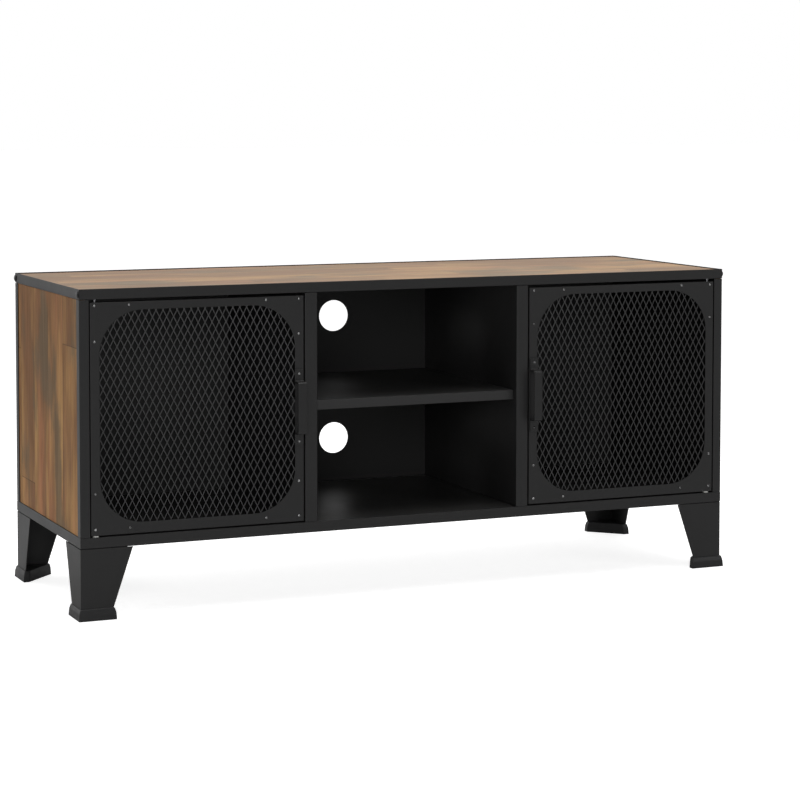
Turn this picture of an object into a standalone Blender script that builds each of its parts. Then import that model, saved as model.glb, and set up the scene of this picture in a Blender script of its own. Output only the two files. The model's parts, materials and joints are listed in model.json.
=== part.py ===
"""A low TV stand: a steel angle frame filled with boards, two doors of framed expanded metal
on pivot pins, an open middle bay with a shelf, and four sheet steel legs in plastic feet.

Metres, +Z up, the front faces -Y and the floor is z = 0. All places are given in the
cabinet's own coordinates, which are centred on its steel frame. The cabinet empty then
moves the whole stand back so that the origin is under the middle of the full depth,
pulls included.
"""

import math

import bmesh
import bpy
from mathutils import Matrix, Vector

# Overall size
WIDTH = 1.050  # over the feet
DEPTH = 0.360  # over the feet
HEIGHT = 0.470

# Stock
STEEL = 0.0012  # folded sheet of the frame, doors and dividers
LEG_STEEL = 0.0015
LEG_BEND = 0.0020
BEND = 0.0015  # outside radius of a fold
GAP = 0.0003  # between pieces that touch
ROUND_SIDES = 16  # facets of a small round shape

# Feet and legs
FOOT_FLARE = 0.004  # how far a foot stands out from the frame at the floor
FOOT_TOP_FLARE = 0.0012
FOOT_HEIGHT = 0.017
FOOT_LENGTH = 0.056
FOOT_END = 0.009  # width of a foot at the end of each arm
LEG_TOP = 0.1020
LEG_BOTTOM = 0.0033
LEG_TOP_WIDTH = 0.0769
LEG_BOTTOM_WIDTH = 0.0433
LEG_PLATE_REACH = 0.070  # of the plate under the base, along each arm of the leg
LEG_PLATE_CORNER = 0.034  # where the plate's slanted edge starts
LEG_PLATE_DOWN = 0.0001  # how far the plate lies below the leg's upper edge
LEG_BOLT_AT = (0.052, 0.021)  # along each arm of the leg, from its outer corner

# Steel frame
FRAME_W = WIDTH - 2 * FOOT_FLARE
FRAME_D = DEPTH - 2 * FOOT_FLARE
BASE_Z = 0.1024
BASE_RAIL = 0.0156  # height of the base rails
TOP_RAIL = 0.0150  # height of the top rails
ANGLE_REACH = 0.0150  # how far a rail reaches in under the boards
POST_LEG = 0.0143
BASE_TOP = BASE_Z + BASE_RAIL
RAIL_UNDER = HEIGHT - TOP_RAIL

# Boards
SIDE_THICK = 0.009
SIDE_IN = FRAME_W / 2 - STEEL - GAP - SIDE_THICK  # inner face of a side panel

# Dividers, shelf and back
DIVIDER_OUT = 0.1815
DIVIDER_IN = 0.1620
BACK_Y = 0.1612
BACK_FLANGE = 0.0108
SHELF_FRONT = -0.1650
SHELF_TOP = 0.2955
SHELF_LIP = 0.0145
BRACKET_LEG = 0.0125
BRACKET_SHORT = 0.0200  # how much shorter a bracket is than the shelf is deep
BOARD_EDGE = 0.0004  # broken edge of a board
TOP_LIP = 0.0015  # how far the top rails stand above the top board
HOLE_RADIUS = 0.025
HOLE_Z = (0.1887, 0.3870)

# Doors
DOOR_OUT = 0.5054  # hinge edge
DOOR_IN = 0.1833  # edge by the divider
DOOR_BOTTOM = 0.1202
DOOR_TOP = 0.4510
DOOR_THICK = 0.0140
DOOR_FRONT = -FRAME_D / 2 + 0.0002
DOOR_MID_X = (DOOR_OUT + DOOR_IN) / 2
OPENING_W = 0.2947
OPENING_H = 0.3030
OPENING_Z = 0.2876
OPENING_RADIUS = 0.064
MESH_THICK = 0.0010
MESH_W = 0.3150
MESH_Z = (0.1250, 0.4493)

# Pivots, on the line through both pins of a door
PIVOT_X = 0.4970
PIVOT_Y = DOOR_FRONT + 0.0063
PIN_RADIUS = 0.0020
PIN_IN_DOOR = 0.0080
PIN_IN_BOARD = 0.0100
HOLE_CLEARANCE = 0.00035
WASHER_RADIUS = 0.0045

# Pulls: a strip bent into a bridge
PULL_X = 0.1913
PULL_WIDTH = 0.0135
PULL_THICK = 0.0020
PULL_GRIP = 0.0770
PULL_LENGTH = 0.1120
PULL_STAND_OFF = 0.0160
PULL_BEND = 0.0032

# Screws and catches
SCREW_FROM_CORNER = 0.0050
SCREW_Z = HEIGHT - 0.0076
CATCH_SIZE = (0.0140, 0.0150, 0.0240)

PULL_FRONT = DOOR_FRONT - GAP - PULL_STAND_OFF
CABINET_Y = -(PULL_FRONT + DEPTH / 2) / 2  # puts the origin under the middle of the depth

CORNERS = {  # name: side in x, side in y, turn of a piece made for the front left corner
    "front_left": (-1, -1, 0),
    "front_right": (1, -1, 90),
    "rear_right": (1, 1, 180),
    "rear_left": (-1, 1, 270),
}
SIDES = {"left": -1, "right": 1}


def clear_scene():
    for obj in list(bpy.data.objects):
        bpy.data.objects.remove(obj)


def new_collection(name, hidden=False):
    collection = bpy.data.collections.new(name)
    collection.hide_render = hidden
    bpy.context.scene.collection.children.link(collection)
    return collection


def new_material(name, colour, roughness, metallic=0.0):
    made = bpy.data.materials.new(name)
    made.use_nodes = True
    shader = made.node_tree.nodes["Principled BSDF"]
    shader.inputs["Base Color"].default_value = (*colour, 1)
    shader.inputs["Roughness"].default_value = roughness
    shader.inputs["Metallic"].default_value = metallic
    made.diffuse_color = (*colour, 1)
    return made


clear_scene()
STAND = new_collection("tv_stand")
CUTTERS = new_collection("cutters", hidden=True)
OAK_TOP = new_material("oak_top", (0.42, 0.33, 0.24), 0.45)
OAK_SIDE = new_material("oak_side", (0.26, 0.17, 0.10), 0.50)
BLACK_STEEL = new_material("black_steel", (0.018, 0.018, 0.019), 0.42)
BLACK_MESH = new_material("black_mesh", (0.022, 0.022, 0.023), 0.40)
BLACK_BOARD = new_material("black_board", (0.016, 0.016, 0.017), 0.30)
BLACK_PLASTIC = new_material("black_plastic", (0.025, 0.025, 0.027), 0.50)
NYLON = new_material("nylon", (0.60, 0.60, 0.57), 0.45)
ZINC = new_material("zinc", (0.66, 0.67, 0.69), 0.28, 1.0)
BLACK_SCREW = new_material("black_screw", (0.012, 0.012, 0.012), 0.35, 0.6)


def new_empty(name, place, parent=None):
    empty = bpy.data.objects.new(name, None)
    empty.location = place
    empty.parent = parent
    STAND.objects.link(empty)
    return empty


CABINET = new_empty("cabinet", (0, CABINET_Y, 0))
PIVOTS = {
    name: new_empty(f"{name}_door_pivot", (side * PIVOT_X, PIVOT_Y, 0), CABINET)
    for name, side in SIDES.items()
}


def finish(obj, material, body=CABINET):
    """Gives a piece its material and hangs it on its body, keeping its place."""
    STAND.objects.link(obj)
    obj.data.materials.clear()
    obj.data.materials.append(material)
    obj.data.shade_smooth()
    obj.data.set_sharp_from_angle(angle=math.radians(35))
    obj.parent = body
    if body is not CABINET:
        obj.location -= body.location
    return obj


def combine(obj, shape, operation):
    """Joins a shape to a piece or cuts it out. The shape is placed in cabinet coordinates."""
    if shape.name not in CUTTERS.objects:
        CUTTERS.objects.link(shape)
        shape.parent = CABINET
        shape.hide_render = True
        shape.display_type = "WIRE"
    boolean = obj.modifiers.new(shape.name, "BOOLEAN")
    boolean.operation = operation
    boolean.solver = "EXACT"
    boolean.object = shape


def cut(obj, cutter):
    combine(obj, cutter, "DIFFERENCE")


def object_from(shape, name, place=(0, 0, 0)):
    mesh = bpy.data.meshes.new(name)
    shape.normal_update()
    bmesh.ops.recalc_face_normals(shape, faces=shape.faces)
    shape.to_mesh(mesh)
    shape.free()
    obj = bpy.data.objects.new(name, mesh)
    obj.location = place
    return obj


def block(name, low, high, bevel=0.0, front_bend=0.0):
    """A box between two corners, with all edges broken or only the front ones folded round."""
    low, high = Vector(low), Vector(high)
    shape = bmesh.new()
    bmesh.ops.create_cube(shape, size=1.0)
    bmesh.ops.scale(shape, vec=high - low, verts=shape.verts)
    edges = list(shape.edges) if bevel else []
    if front_bend:
        edges = [e for e in shape.edges if all(v.co.y < 0 for v in e.verts)]
    if edges:
        bmesh.ops.bevel(
            shape,
            geom=edges,
            offset=bevel or front_bend,
            segments=2,
            profile=0.5,
            affect="EDGES",
            material=-1,
        )
    return object_from(shape, name, (low + high) / 2)


def cylinder(name, radius, start, end, sides=ROUND_SIDES):
    """A closed cylinder between two points."""
    start, end = Vector(start), Vector(end)
    along = end - start
    shape = bmesh.new()
    bmesh.ops.create_cone(
        shape,
        cap_ends=True,
        segments=sides,
        radius1=radius,
        radius2=radius,
        depth=along.length,
    )
    turn = Vector((0, 0, 1)).rotation_difference(along).to_matrix().to_4x4()
    bmesh.ops.transform(shape, matrix=turn, verts=shape.verts)
    return object_from(shape, name, (start + end) / 2)


def turned(name, profile, place, axis=(0, 0, 1), closed=False):
    """A profile of (radius, height) points, from the top down, turned about an axis."""
    shape = bmesh.new()
    points = [shape.verts.new((radius, 0, height)) for radius, height in profile]
    for pair in zip(points, points[1:] + points[:1] if closed else points[1:]):
        shape.edges.new(pair)
    mesh = bpy.data.meshes.new(name)
    shape.to_mesh(mesh)
    shape.free()
    obj = bpy.data.objects.new(name, mesh)
    obj.location = place
    obj.rotation_mode = "QUATERNION"
    obj.rotation_quaternion = Vector((0, 0, 1)).rotation_difference(Vector(axis))
    screw = obj.modifiers.new("turn", "SCREW")
    screw.steps = ROUND_SIDES
    screw.render_steps = ROUND_SIDES
    screw.use_merge_vertices = True
    screw.merge_threshold = 0.00002
    return obj


def rounded(corners, radii, steps=4):
    """A closed outline or open path with an arc at each corner that has a radius."""
    points = []
    count = len(corners)
    for index, (corner, radius) in enumerate(zip(corners, radii)):
        corner = Vector(corner)
        if not radius:
            points.append(corner)
            continue
        before = (Vector(corners[index - 1]) - corner).normalized()
        after = (Vector(corners[(index + 1) % count]) - corner).normalized()
        half = before.angle(after) / 2
        centre = corner + (before + after).normalized() * radius / math.sin(half)
        reach = radius / math.tan(half)
        start = corner + before * reach - centre
        sweep = start.angle_signed(corner + after * reach - centre)
        for step in range(steps + 1):
            spoke = start.copy()
            spoke.rotate(Matrix.Rotation(-sweep * step / steps, 2))
            points.append(centre + spoke)
    return [tuple(point) for point in points]


def prism(name, outline, thickness, axes="XYZ", place=(0, 0, 0)):
    """A flat outline extruded both ways. axes says where its x, y and the extrusion lie."""
    curve = bpy.data.curves.new(name + "_outline", "CURVE")
    curve.dimensions = "2D"
    curve.fill_mode = "BOTH"
    curve.extrude = thickness / 2
    spline = curve.splines.new("POLY")
    spline.points.add(len(outline) - 1)
    for point, (x, y) in zip(spline.points, outline):
        point.co = (x, y, 0, 1)
    spline.use_cyclic_u = True
    guide = bpy.data.objects.new(name + "_outline", curve)
    bpy.context.scene.collection.objects.link(guide)
    graph = bpy.context.evaluated_depsgraph_get()
    mesh = bpy.data.meshes.new_from_object(guide.evaluated_get(graph))
    bpy.data.objects.remove(guide)
    shape = bmesh.new()
    shape.from_mesh(mesh)
    bpy.data.meshes.remove(mesh)
    bmesh.ops.remove_doubles(shape, verts=shape.verts, dist=1e-6)
    turn = Matrix.Identity(3)
    for source, axis in enumerate(axes):
        turn.col[source] = [float(axis == other) for other in "XYZ"]
    shape.transform(turn.to_4x4())
    return object_from(shape, name, place)


def angle_outline(first, second, thickness, radius=BEND):
    """Section of a folded angle with its outer corner at the origin."""
    corners = [
        (0, second),
        (0, 0),
        (first, 0),
        (first, thickness),
        (thickness, thickness),
        (thickness, second),
    ]
    return rounded(corners, (0, radius, 0, 0, 0, 0), steps=3)


def mitred_rail(name, length, section, place, turn):
    """A rail along X whose section lies in Y (inwards) and Z, its ends cut at 45 degrees."""
    rail = prism(name, section, length - 2 * GAP, axes="YZX", place=place)
    for vertex in rail.data.vertices:
        vertex.co.x -= math.copysign(vertex.co.y, vertex.co.x)
    rail.rotation_euler.z = math.radians(turn)
    return finish(rail, BLACK_STEEL)


def make_frame():
    """Mitred angle rails around the top and the base, and a folded post at each corner."""
    sides = {
        "front": (FRAME_W, (0, -FRAME_D / 2), 0),
        "right": (FRAME_D, (FRAME_W / 2, 0), 90),
        "rear": (FRAME_W, (0, FRAME_D / 2), 180),
        "left": (FRAME_D, (-FRAME_W / 2, 0), 270),
    }
    levels = {"top": (TOP_RAIL, RAIL_UNDER), "base": (BASE_RAIL, BASE_Z)}
    rails = {}
    for level, (height, z) in levels.items():
        section = angle_outline(ANGLE_REACH, height, STEEL)
        for side, (length, (x, y), turn) in sides.items():
            name = f"{level}_rail_{side}"
            rails[name] = mitred_rail(name, length, section, (x, y, z), turn)
    for name, (x, y, turn) in CORNERS.items():
        post = prism(
            f"post_{name}",
            angle_outline(POST_LEG, POST_LEG, STEEL),
            RAIL_UNDER - BASE_TOP - 2 * GAP,
            place=(x * FRAME_W / 2, y * FRAME_D / 2, (RAIL_UNDER + BASE_TOP) / 2),
        )
        post.rotation_euler.z = math.radians(turn)
        finish(post, BLACK_STEEL)
    return rails


def make_boards():
    """The top and base boards inside the rails, and the side panels between the posts."""
    x = FRAME_W / 2 - STEEL - GAP
    y = FRAME_D / 2 - STEEL - GAP
    top = block(
        "top_board", (-x, -y, RAIL_UNDER + STEEL + GAP), (x, y, HEIGHT - TOP_LIP), bevel=BOARD_EDGE
    )
    base = block(
        "base_board", (-x, -y, BASE_Z + STEEL + GAP), (x, y, BASE_TOP - GAP), bevel=BOARD_EDGE
    )
    finish(top, OAK_TOP)
    finish(base, BLACK_BOARD)
    for name, side in SIDES.items():
        inner, outer = sorted((side * SIDE_IN, side * x))
        panel = block(
            f"side_panel_{name}", (inner, -y, BASE_TOP), (outer, y, RAIL_UNDER - GAP), bevel=BOARD_EDGE
        )
        finish(panel, OAK_SIDE)
    return top, base


def make_dividers():
    """Two uprights folded from sheet: a closed front and a wall to each bay, open behind."""
    width = DIVIDER_OUT - DIVIDER_IN
    back = BACK_Y - GAP
    for name, side in SIDES.items():
        walls = rounded(
            [
                (-width / 2, back),
                (-width / 2, -FRAME_D / 2),
                (width / 2, -FRAME_D / 2),
                (width / 2, back),
                (width / 2 - STEEL, back),
                (width / 2 - STEEL, -FRAME_D / 2 + STEEL),
                (-width / 2 + STEEL, -FRAME_D / 2 + STEEL),
                (-width / 2 + STEEL, back),
            ],
            (0, BEND, BEND, 0, 0, 0, 0, 0),
            steps=3,
        )
        middle = (side * (DIVIDER_OUT + DIVIDER_IN) / 2, 0, (RAIL_UNDER + BASE_TOP) / 2)
        divider = prism(
            f"divider_{name}", walls, RAIL_UNDER - BASE_TOP - 2 * GAP, place=middle
        )
        finish(divider, BLACK_STEEL)


def make_back():
    """One sheet with its edges folded back, and a round hole for cables in each middle bay."""
    x = SIDE_IN - GAP
    low, high = BASE_TOP + GAP, RAIL_UNDER - GAP
    rear = BACK_Y + BACK_FLANGE
    back = block("back_panel", (-x, BACK_Y, low), (x, rear, high))
    hollow = block(
        "back_hollow",
        (-x + STEEL, BACK_Y + STEEL, low + STEEL),
        (x - STEEL, rear + STEEL, high - STEEL),
    )
    cut(back, hollow)
    for index, z in enumerate(HOLE_Z):
        cutter = cylinder(
            f"cable_hole_{index}",
            HOLE_RADIUS,
            (0, BACK_Y - STEEL, z),
            (0, BACK_Y + 2 * STEEL, z),
            sides=40,
        )
        cut(back, cutter)
    finish(back, BLACK_STEEL)


def make_shelf():
    """A sheet folded down at the front and the back, on an angle bracket at each end."""
    back = BACK_Y - GAP
    bottom = SHELF_TOP - SHELF_LIP
    section = rounded(
        [
            (SHELF_FRONT, bottom),
            (SHELF_FRONT, SHELF_TOP),
            (back, SHELF_TOP),
            (back, bottom),
            (back - STEEL, bottom),
            (back - STEEL, SHELF_TOP - STEEL),
            (SHELF_FRONT + STEEL, SHELF_TOP - STEEL),
            (SHELF_FRONT + STEEL, bottom),
        ],
        (0, BEND, BEND, 0, 0, 0, 0, 0),
        steps=3,
    )
    shelf = prism("shelf", section, 2 * (DIVIDER_IN - GAP), axes="YZX")
    finish(shelf, BLACK_STEEL)
    length = back - SHELF_FRONT - BRACKET_SHORT
    for name, side in SIDES.items():
        # The outer corner of the angle is at the top, against the divider's wall.
        section = [
            (-side * reach, -drop)
            for reach, drop in angle_outline(BRACKET_LEG, BRACKET_LEG, STEEL)
        ]
        place = (
            side * (DIVIDER_IN - GAP),
            (back + SHELF_FRONT) / 2,
            SHELF_TOP - STEEL - GAP,
        )
        bracket = prism(f"shelf_bracket_{name}", section, length, axes="XZY", place=place)
        finish(bracket, BLACK_STEEL)


def make_leg(name, x, y, turn):
    """Two tapering plates folded along the stand's corner, with a plate to bolt them up by."""
    height = LEG_TOP - LEG_BOTTOM
    outline = angle_outline(LEG_TOP_WIDTH, LEG_TOP_WIDTH, LEG_STEEL, LEG_BEND)
    corner = (x * FRAME_W / 2, y * FRAME_D / 2)
    leg = prism(f"leg_{name}", outline, height, place=(*corner, LEG_BOTTOM + height / 2))
    for vertex in leg.data.vertices:
        if vertex.co.z < 0:
            vertex.co.x = min(vertex.co.x, LEG_BOTTOM_WIDTH)
            vertex.co.y = min(vertex.co.y, LEG_BOTTOM_WIDTH)
    leg.rotation_euler.z = math.radians(turn)
    near, far, slant = LEG_STEEL / 2, LEG_PLATE_REACH, LEG_PLATE_CORNER
    plate = prism(
        f"leg_plate_{name}",
        [(near, near), (far, near), (far, slant), (slant, far), (near, far)],
        LEG_STEEL,
        place=(*corner, LEG_TOP - LEG_STEEL / 2 - LEG_PLATE_DOWN),
    )
    plate.rotation_euler.z = math.radians(turn)
    combine(leg, plate, "UNION")
    return finish(leg, BLACK_STEEL)


def make_foot(name, x, y, turn):
    """A flared plastic shoe with a slot that the leg's two plates stand in."""
    out, length, end = FOOT_FLARE, FOOT_LENGTH - FOOT_FLARE, FOOT_END - FOOT_FLARE
    outline = rounded(
        [(-out, -out), (length, -out), (length, end), (end, length), (-out, length)],
        (0.003, 0.001, 0.001, 0.001, 0.001),
        steps=2,
    )
    corner = (x * FRAME_W / 2, y * FRAME_D / 2)
    foot = prism(f"foot_{name}", outline, FOOT_HEIGHT, place=(*corner, FOOT_HEIGHT / 2))
    middle = (length - out) / 2
    shrink = 1 - (FOOT_FLARE - FOOT_TOP_FLARE) / (middle + out)
    for vertex in foot.data.vertices:
        if vertex.co.z > 0:
            vertex.co.x = middle + (vertex.co.x - middle) * shrink
            vertex.co.y = middle + (vertex.co.y - middle) * shrink
    foot.rotation_euler.z = math.radians(turn)
    taper = (LEG_TOP_WIDTH - LEG_BOTTOM_WIDTH) / (LEG_TOP - LEG_BOTTOM)
    slot_length = LEG_BOTTOM_WIDTH + taper * (FOOT_HEIGHT - LEG_BOTTOM) + GAP
    outer, inner = -GAP, LEG_STEEL + GAP
    slot = prism(
        f"leg_slot_{name}",
        [
            (outer, outer),
            (slot_length, outer),
            (slot_length, inner),
            (inner, inner),
            (inner, slot_length),
            (outer, slot_length),
        ],
        2 * (FOOT_HEIGHT - LEG_BOTTOM + GAP),
        place=(*corner, FOOT_HEIGHT),
    )
    slot.rotation_euler.z = math.radians(turn)
    cut(foot, slot)
    return finish(foot, BLACK_PLASTIC)


def corner_place(name, along_x, along_y):
    """Cabinet x and y of a point at a corner, given as it lies at the front left one."""
    x, y, turn = CORNERS[name]
    point = Vector((along_x, along_y))
    point.rotate(Matrix.Rotation(math.radians(turn), 2))
    return x * FRAME_W / 2 + point.x, y * FRAME_D / 2 + point.y


def make_legs(base):
    """The four legs and feet, and the two bolts that hold each leg up to the base board."""
    bolt_radius, head_radius, head_high, in_board = 0.0025, 0.0050, 0.0032, 0.0080
    head_top = LEG_TOP - LEG_PLATE_DOWN - LEG_STEEL - GAP
    tip = BASE_Z + STEEL + GAP + in_board
    for name, (x, y, turn) in CORNERS.items():
        leg = make_leg(name, x, y, turn)
        make_foot(name, x, y, turn)
        along, across = LEG_BOLT_AT
        for number, (dx, dy) in enumerate(((along, across), (across, along)), start=1):
            bx, by = corner_place(name, dx, dy)
            hole = cylinder(
                f"leg_bolt_hole_{name}_{number}",
                bolt_radius + HOLE_CLEARANCE,
                (bx, by, head_top - GAP),
                (bx, by, tip + GAP),
            )
            cut(leg, hole)
            cut(base, hole)
            profile = [
                (0, tip - head_top),
                (bolt_radius, tip - head_top),
                (bolt_radius, 0),
                (head_radius, 0),
                (head_radius, -head_high + 0.0006),
                (head_radius - 0.0006, -head_high),
                (0, -head_high),
            ]
            bolt = turned(f"leg_bolt_{name}_{number}", profile, (bx, by, head_top))
            finish(bolt, BLACK_SCREW)


def make_corner_screws(rails, top):
    """A round headed screw through each end of the side rails into the top board."""
    shank_radius, head_radius, head_high, in_board = 0.0018, 0.0047, 0.0024, 0.0100
    for name, (x, y, _) in CORNERS.items():
        rail = rails["top_rail_left" if x < 0 else "top_rail_right"]
        face = (x * (FRAME_W / 2 + GAP), y * (FRAME_D / 2 - SCREW_FROM_CORNER), SCREW_Z)
        inward = Vector((-x, 0, 0))
        hole = cylinder(
            f"corner_screw_hole_{name}",
            shank_radius + HOLE_CLEARANCE,
            Vector(face) - inward * STEEL,
            Vector(face) + inward * (in_board + GAP),
        )
        cut(rail, hole)
        cut(top, hole)
        profile = [
            (0, in_board),
            (shank_radius, in_board),
            (shank_radius, 0),
            (head_radius, 0),
            (head_radius, -0.0010),
            (0.0037, -0.0019),
            (0.0018, -head_high),
            (0, -head_high),
        ]
        screw = turned(f"corner_screw_{name}", profile, face, inward)
        finish(screw, BLACK_SCREW)


def make_pull(name, side):
    """A steel strip bent into a bridge, its two ends flat on the door."""
    flat = GAP + PULL_THICK / 2
    proud = GAP + PULL_STAND_OFF - PULL_THICK / 2
    grip = (PULL_GRIP - PULL_THICK) / 2
    end = PULL_LENGTH / 2
    path = rounded(
        [(end, flat), (grip, flat), (grip, proud), (-grip, proud), (-grip, flat), (-end, flat)],
        (0, PULL_BEND, PULL_BEND, PULL_BEND, PULL_BEND, 0),
    )
    shape = bmesh.new()
    points = [shape.verts.new((-PULL_WIDTH / 2, -out, up)) for up, out in path]
    edges = [shape.edges.new(pair) for pair in zip(points, points[1:])]
    swept = bmesh.ops.extrude_edge_only(shape, edges=edges)["geom"]
    moved = [item for item in swept if isinstance(item, bmesh.types.BMVert)]
    bmesh.ops.translate(shape, verts=moved, vec=(PULL_WIDTH, 0, 0))
    pull = object_from(shape, f"door_pull_{name}", (side * PULL_X, DOOR_FRONT, OPENING_Z))
    wall = pull.modifiers.new("strip", "SOLIDIFY")
    wall.thickness = PULL_THICK
    wall.offset = 0
    wall.use_even_offset = True
    finish(pull, BLACK_STEEL, PIVOTS[name])


def make_door(name, side):
    """A folded steel frame with a big rounded opening, and the mesh panel behind it."""
    low_x, high_x = sorted((side * DOOR_IN, side * DOOR_OUT))
    rear = DOOR_FRONT + DOOR_THICK
    frame = block(
        f"door_frame_{name}",
        (low_x, DOOR_FRONT, DOOR_BOTTOM),
        (high_x, rear, DOOR_TOP),
        front_bend=BEND,
    )
    hollow = block(
        f"door_hollow_{name}",
        (low_x + STEEL, DOOR_FRONT + STEEL, DOOR_BOTTOM + STEEL),
        (high_x - STEEL, rear + STEEL, DOOR_TOP - STEEL),
    )
    half_w, half_h = OPENING_W / 2, OPENING_H / 2
    outline = rounded(
        [(-half_w, -half_h), (half_w, -half_h), (half_w, half_h), (-half_w, half_h)],
        (OPENING_RADIUS,) * 4,
        steps=12,
    )
    opening = prism(
        f"door_opening_{name}",
        outline,
        4 * STEEL,
        axes="XZY",
        place=(side * DOOR_MID_X, DOOR_FRONT, OPENING_Z),
    )
    pivot = (side * PIVOT_X, PIVOT_Y)
    pin_holes = cylinder(
        f"door_pin_holes_{name}",
        PIN_RADIUS + HOLE_CLEARANCE,
        (*pivot, DOOR_BOTTOM - STEEL),
        (*pivot, DOOR_TOP + STEEL),
    )
    for cutter in (hollow, opening, pin_holes):
        cut(frame, cutter)
    finish(frame, BLACK_STEEL, PIVOTS[name])
    mesh_y = DOOR_FRONT + STEEL + GAP
    mesh = block(
        f"door_mesh_{name}",
        (side * DOOR_MID_X - MESH_W / 2, mesh_y, MESH_Z[0]),
        (side * DOOR_MID_X + MESH_W / 2, mesh_y + MESH_THICK, MESH_Z[1]),
    )
    finish(mesh, BLACK_MESH, PIVOTS[name])


def make_pivots(name, side, top, base, top_rail):
    """Upper and lower pivot pins in the boards, and the washer that the door stands on."""
    x, y = side * PIVOT_X, PIVOT_Y
    board_under = RAIL_UNDER + STEEL + GAP
    board_over = BASE_TOP - GAP
    hole_radius = PIN_RADIUS + HOLE_CLEARANCE
    upper_hole = cylinder(
        f"upper_pin_hole_{name}",
        hole_radius,
        (x, y, RAIL_UNDER - STEEL),
        (x, y, board_under + PIN_IN_BOARD + GAP),
    )
    cut(top, upper_hole)
    cut(top_rail, upper_hole)
    lower_hole = cylinder(
        f"lower_pin_hole_{name}",
        hole_radius,
        (x, y, board_over - PIN_IN_BOARD - GAP),
        (x, y, BASE_TOP + STEEL),
    )
    cut(base, lower_hole)
    tip = 0.0005
    collar_radius, collar = 0.0034, 0.0009
    upper_length = board_under + PIN_IN_BOARD - (DOOR_TOP - PIN_IN_DOOR)
    collar_top = RAIL_UNDER - GAP - (DOOR_TOP - PIN_IN_DOOR)
    upper = [
        (0, upper_length),
        (PIN_RADIUS, upper_length),
        (PIN_RADIUS, collar_top),
        (collar_radius, collar_top),
        (collar_radius, collar_top - collar),
        (PIN_RADIUS, collar_top - collar),
        (PIN_RADIUS, tip),
        (PIN_RADIUS - tip, 0),
        (0, 0),
    ]
    pin = turned(f"hinge_pin_top_{name}", upper, (x, y, DOOR_TOP - PIN_IN_DOOR))
    finish(pin, ZINC)
    lower_length = DOOR_BOTTOM + PIN_IN_DOOR - (board_over - PIN_IN_BOARD)
    lower = [
        (0, lower_length),
        (PIN_RADIUS - tip, lower_length),
        (PIN_RADIUS, lower_length - tip),
        (PIN_RADIUS, 0),
        (0, 0),
    ]
    pin = turned(f"hinge_pin_bottom_{name}", lower, (x, y, board_over - PIN_IN_BOARD))
    finish(pin, ZINC)
    thick = DOOR_BOTTOM - BASE_TOP - GAP
    ring = [
        (hole_radius, thick),
        (WASHER_RADIUS, thick),
        (WASHER_RADIUS, 0),
        (hole_radius, 0),
    ]
    washer = turned(f"hinge_washer_{name}", ring, (x, y, BASE_TOP), closed=True)
    finish(washer, NYLON)


def make_catch(name, side):
    """A magnet in a plastic case on the divider's wall, against the door's folded edge."""
    width, depth, height = CATCH_SIZE
    near, far = sorted((side * (DIVIDER_OUT + GAP), side * (DIVIDER_OUT + GAP + width)))
    front = DOOR_FRONT + DOOR_THICK + GAP
    case = block(
        f"magnet_catch_{name}",
        (near, front, OPENING_Z - height / 2),
        (far, front + depth, OPENING_Z + height / 2),
        bevel=0.0006,
    )
    finish(case, BLACK_PLASTIC)


def main():
    rails = make_frame()
    top, base = make_boards()
    make_dividers()
    make_back()
    make_shelf()
    make_legs(base)
    make_corner_screws(rails, top)
    for name, side in SIDES.items():
        make_door(name, side)
        make_pull(name, side)
        make_pivots(name, side, top, base, rails["top_rail_front"])
        make_catch(name, side)


main()
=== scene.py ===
import json
import math

import bmesh
import bpy
from bpy.props import FloatProperty, FloatVectorProperty, IntProperty, PointerProperty
from bpy.types import Operator, Panel, PropertyGroup
from mathutils import Matrix, Vector


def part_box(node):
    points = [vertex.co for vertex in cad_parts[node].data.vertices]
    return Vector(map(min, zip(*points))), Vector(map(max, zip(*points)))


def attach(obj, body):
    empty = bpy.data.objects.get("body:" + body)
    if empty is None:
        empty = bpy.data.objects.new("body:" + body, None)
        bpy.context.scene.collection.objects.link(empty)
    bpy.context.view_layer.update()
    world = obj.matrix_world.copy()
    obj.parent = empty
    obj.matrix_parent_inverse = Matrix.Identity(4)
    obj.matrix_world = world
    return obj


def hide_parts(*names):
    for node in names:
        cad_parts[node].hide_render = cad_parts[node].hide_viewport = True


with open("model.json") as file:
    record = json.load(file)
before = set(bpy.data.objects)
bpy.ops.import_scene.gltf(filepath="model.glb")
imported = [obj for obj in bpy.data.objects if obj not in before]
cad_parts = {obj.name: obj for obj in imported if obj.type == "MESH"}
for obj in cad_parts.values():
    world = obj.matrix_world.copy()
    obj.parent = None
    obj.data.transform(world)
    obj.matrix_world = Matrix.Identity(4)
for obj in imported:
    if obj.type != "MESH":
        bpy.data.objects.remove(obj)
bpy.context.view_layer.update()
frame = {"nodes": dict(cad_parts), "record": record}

bl_info = {
    "name": "TV Stand Finishes",
    "version": (1, 0, 0),
    "blender": (4, 5, 0),
    "location": "3D Viewport > Sidebar > TV Stand",
    "description": "Dresses a TV stand with mesh doors: boards, coated steel, mesh, rivets, feet",
    "category": "Object",
}

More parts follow.
